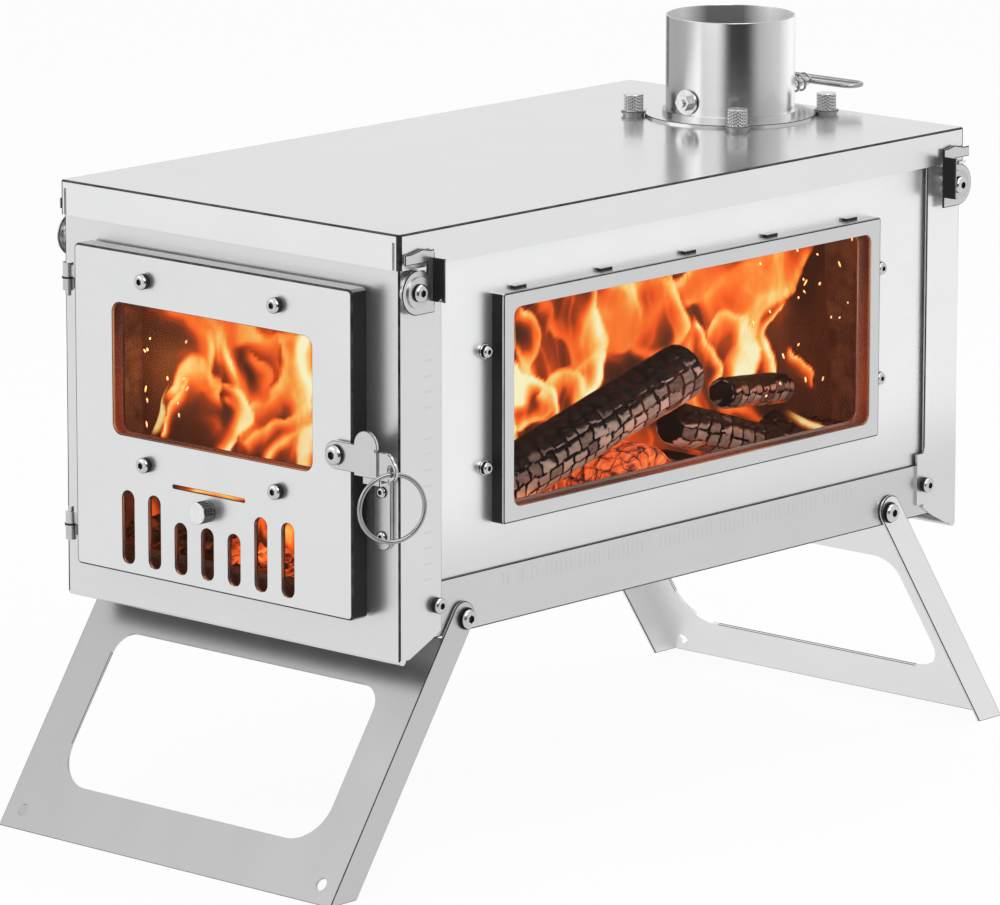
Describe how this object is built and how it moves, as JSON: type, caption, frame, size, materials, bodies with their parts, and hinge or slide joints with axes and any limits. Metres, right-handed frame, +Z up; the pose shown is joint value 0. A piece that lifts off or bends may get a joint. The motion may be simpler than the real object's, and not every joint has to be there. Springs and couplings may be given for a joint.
{
  "type": "tent wood stove",
  "caption": "Folding-leg steel wood stove for a tent, with a hinged glass door, side windows, sliding air inlet, clipped lid and a damped flue collar.",
  "frame": {"origin": "centre of the bounding box, on the floor under the feet", "axes": "+X to the stove's right side, -Y to its front with the door, +Z up"},
  "size_m": [0.2338, 0.47, 0.3407],
  "materials": {
    "steel": "brushed",
    "fastener": "satin",
    "inner_steel": "matte",
    "rope": "matte",
    "glass": "clear",
    "charred_wood": "matte",
    "fire": "glowing"
  },
  "bodies": {
    "stove": {"lid": "steel", "front_panel": "steel", "rear_panel": "steel", "tray": "steel", "side_wall_left": "steel", "side_wall_right": "steel", "window_frame_left": "steel", "window_frame_right": "steel", "window_glass_left": "glass", "window_glass_right": "glass", "window_gaskets_left": "rope", "window_gaskets_right": "rope", "window_bolts": "fastener", "panel_hinge_knuckles": "steel", "hinge_pins": "fastener", "hinge_washers": "fastener", "keeper": "steel", "keeper_screws": "fastener", "grate": "inner_steel", "baffle": "inner_steel", "firewood": "charred_wood", "flames_left": "fire", "flames_right": "fire", "flames_front": "fire", "flue_collar": "steel", "flue_flange": "steel", "thumb_screws": "steel", "thumb_washers": "steel", "leg_bolts": "fastener", "leg_washers": "fastener", "flange_bolts": "fastener", "clip_bolts": "fastener", "clip_washers": "steel"},
    "door": {"door_shell": "steel", "door_inner_plate": "inner_steel", "door_glass": "glass", "door_gasket": "rope", "door_glass_gaskets": "rope", "door_bolts": "fastener", "slide_guides": "steel", "door_hinge_knuckles": "steel", "latch_bolt": "fastener"},
    "air_control": {"air_slide": "steel", "air_knob": "fastener"},
    "latch": {"latch_lever": "steel"},
    "pull_ring": {"latch_ring": "steel"},
    "damper": {"damper_disc": "steel", "damper_rod": "steel", "damper_washers": "steel", "damper_nut": "fastener", "damper_spring": "steel", "damper_loop": "steel"},
    "front_stand": {"front_leg": "steel"},
    "rear_stand": {"rear_leg": "steel"},
    "clip_a": {"clip_front_left": "steel"},
    "clip_b": {"clip_front_right": "steel"},
    "clip_c": {"clip_rear_left": "steel"},
    "clip_d": {"clip_rear_right": "steel"}
  },
  "joints": [
    {"name": "door_swing", "type": "hinge", "parent": "stove", "child": "door", "pos_m": [-0.09902, -0.19495, 0.19336], "axis": [0, 0, 1], "range_deg": [-150, 0]},
    {"name": "air_slide_travel", "type": "slide", "parent": "door", "child": "air_control", "axis": [-1, 0, 0], "range_m": [0, 0.0083]},
    {"name": "latch_lift", "type": "hinge", "parent": "door", "child": "latch", "pos_m": [0.07548, -0.20305, 0.19371], "axis": [0, -1, 0], "range_deg": [0, 60]},
    {"name": "ring_swing", "type": "hinge", "parent": "latch", "child": "pull_ring", "pos_m": [0.10894, -0.20323, 0.18966], "axis": [0.4648, 0.8854, 0], "range_deg": [-100, 15]},
    {"name": "damper_turn", "type": "hinge", "parent": "stove", "child": "damper", "pos_m": [-0.00312, 0.15155, 0.30191], "axis": [0, 1, 0], "range_deg": [0, 90]},
    {"name": "front_leg_fold", "type": "hinge", "parent": "stove", "child": "front_stand", "pos_m": [-0.00312, -0.14735, 0.11471], "axis": [1, 0, 0], "range_deg": [0, 124]},
    {"name": "rear_leg_fold", "type": "hinge", "parent": "stove", "child": "rear_stand", "pos_m": [-0.00312, 0.14735, 0.11471], "axis": [-1, 0, 0], "range_deg": [0, 124]},
    {"name": "clip_front_left_turn", "type": "hinge", "parent": "stove", "child": "clip_a", "pos_m": [-0.10952, -0.18105, 0.26601], "axis": [-1, 0, 0], "range_deg": [0, 80]},
    {"name": "clip_front_right_turn", "type": "hinge", "parent": "stove", "child": "clip_b", "pos_m": [0.10328, -0.18105, 0.26601], "axis": [-1, 0, 0], "range_deg": [0, 80]},
    {"name": "clip_rear_left_turn", "type": "hinge", "parent": "stove", "child": "clip_c", "pos_m": [-0.10952, 0.19205, 0.26601], "axis": [1, 0, 0], "range_deg": [0, 80]},
    {"name": "clip_rear_right_turn", "type": "hinge", "parent": "stove", "child": "clip_d", "pos_m": [0.10328, 0.19205, 0.26601], "axis": [1, 0, 0], "range_deg": [0, 80]}
  ]
}
